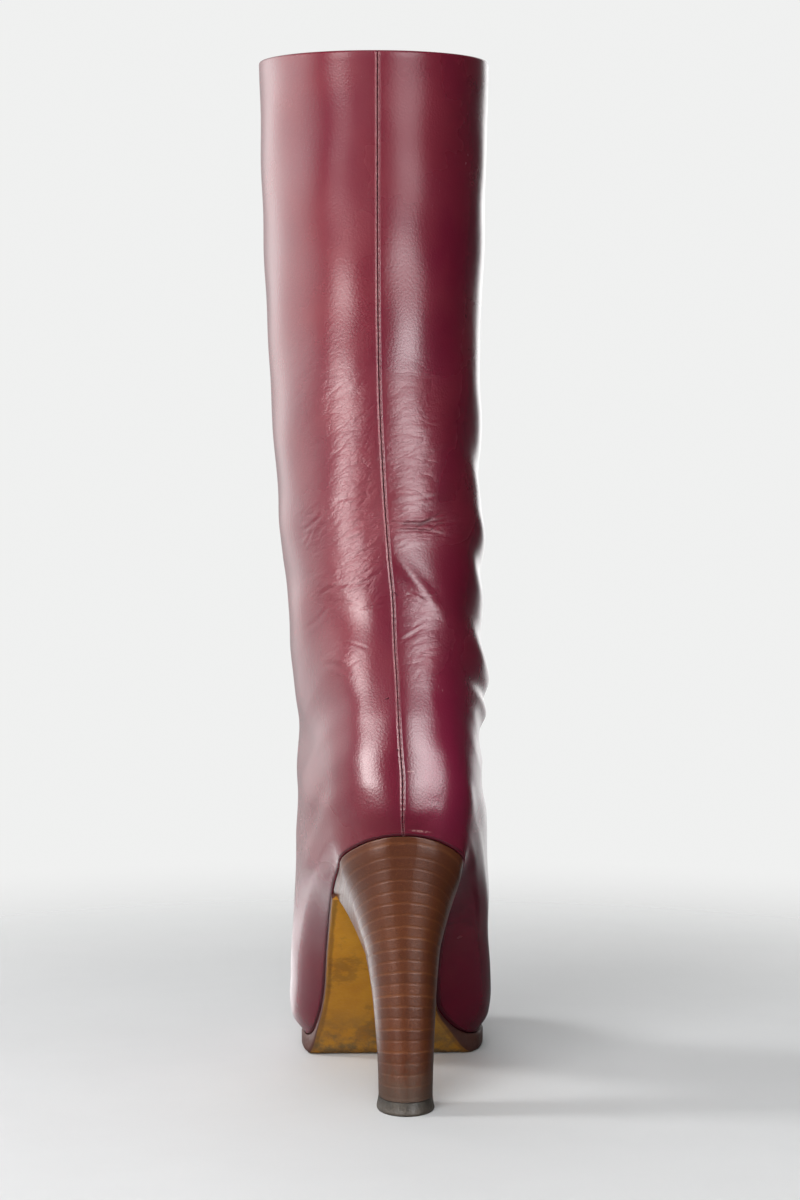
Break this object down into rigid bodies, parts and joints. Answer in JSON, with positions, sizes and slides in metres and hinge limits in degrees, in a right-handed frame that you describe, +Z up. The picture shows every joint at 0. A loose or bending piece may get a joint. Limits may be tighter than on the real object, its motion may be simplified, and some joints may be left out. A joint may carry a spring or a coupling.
{
  "type": "tall heeled leather boot",
  "caption": "Knee-high burgundy leather boot for the left foot, pull-on leg with a sewn back seam, on a tan leather sole and a high stacked heel.",
  "frame": {"origin": "middle of the footprint's bounding box, on the floor plane the boot stands on", "axes": "+Y towards the toe, +X towards the medial side, +Z up the leg"},
  "size_m": [0.1104, 0.2284, 0.466],
  "materials": {
    "burgundy_calf": "polished smooth calf, deep burgundy, fine grain with handling creases",
    "insole_leather": "plain matt insole leather",
    "tan_sole_leather": "waxed tan sole leather, worn darker at the forefoot",
    "stacked_leather": "stained and polished leather layers with thin paler stripes",
    "dark_rubber": "worn matt heel rubber"
  },
  "bodies": {
    "root": {"upper": "burgundy_calf", "insole": "insole_leather", "outsole": "tan_sole_leather", "heel": "stacked_leather", "top_lift": "dark_rubber"}
  },
  "joints": []
}
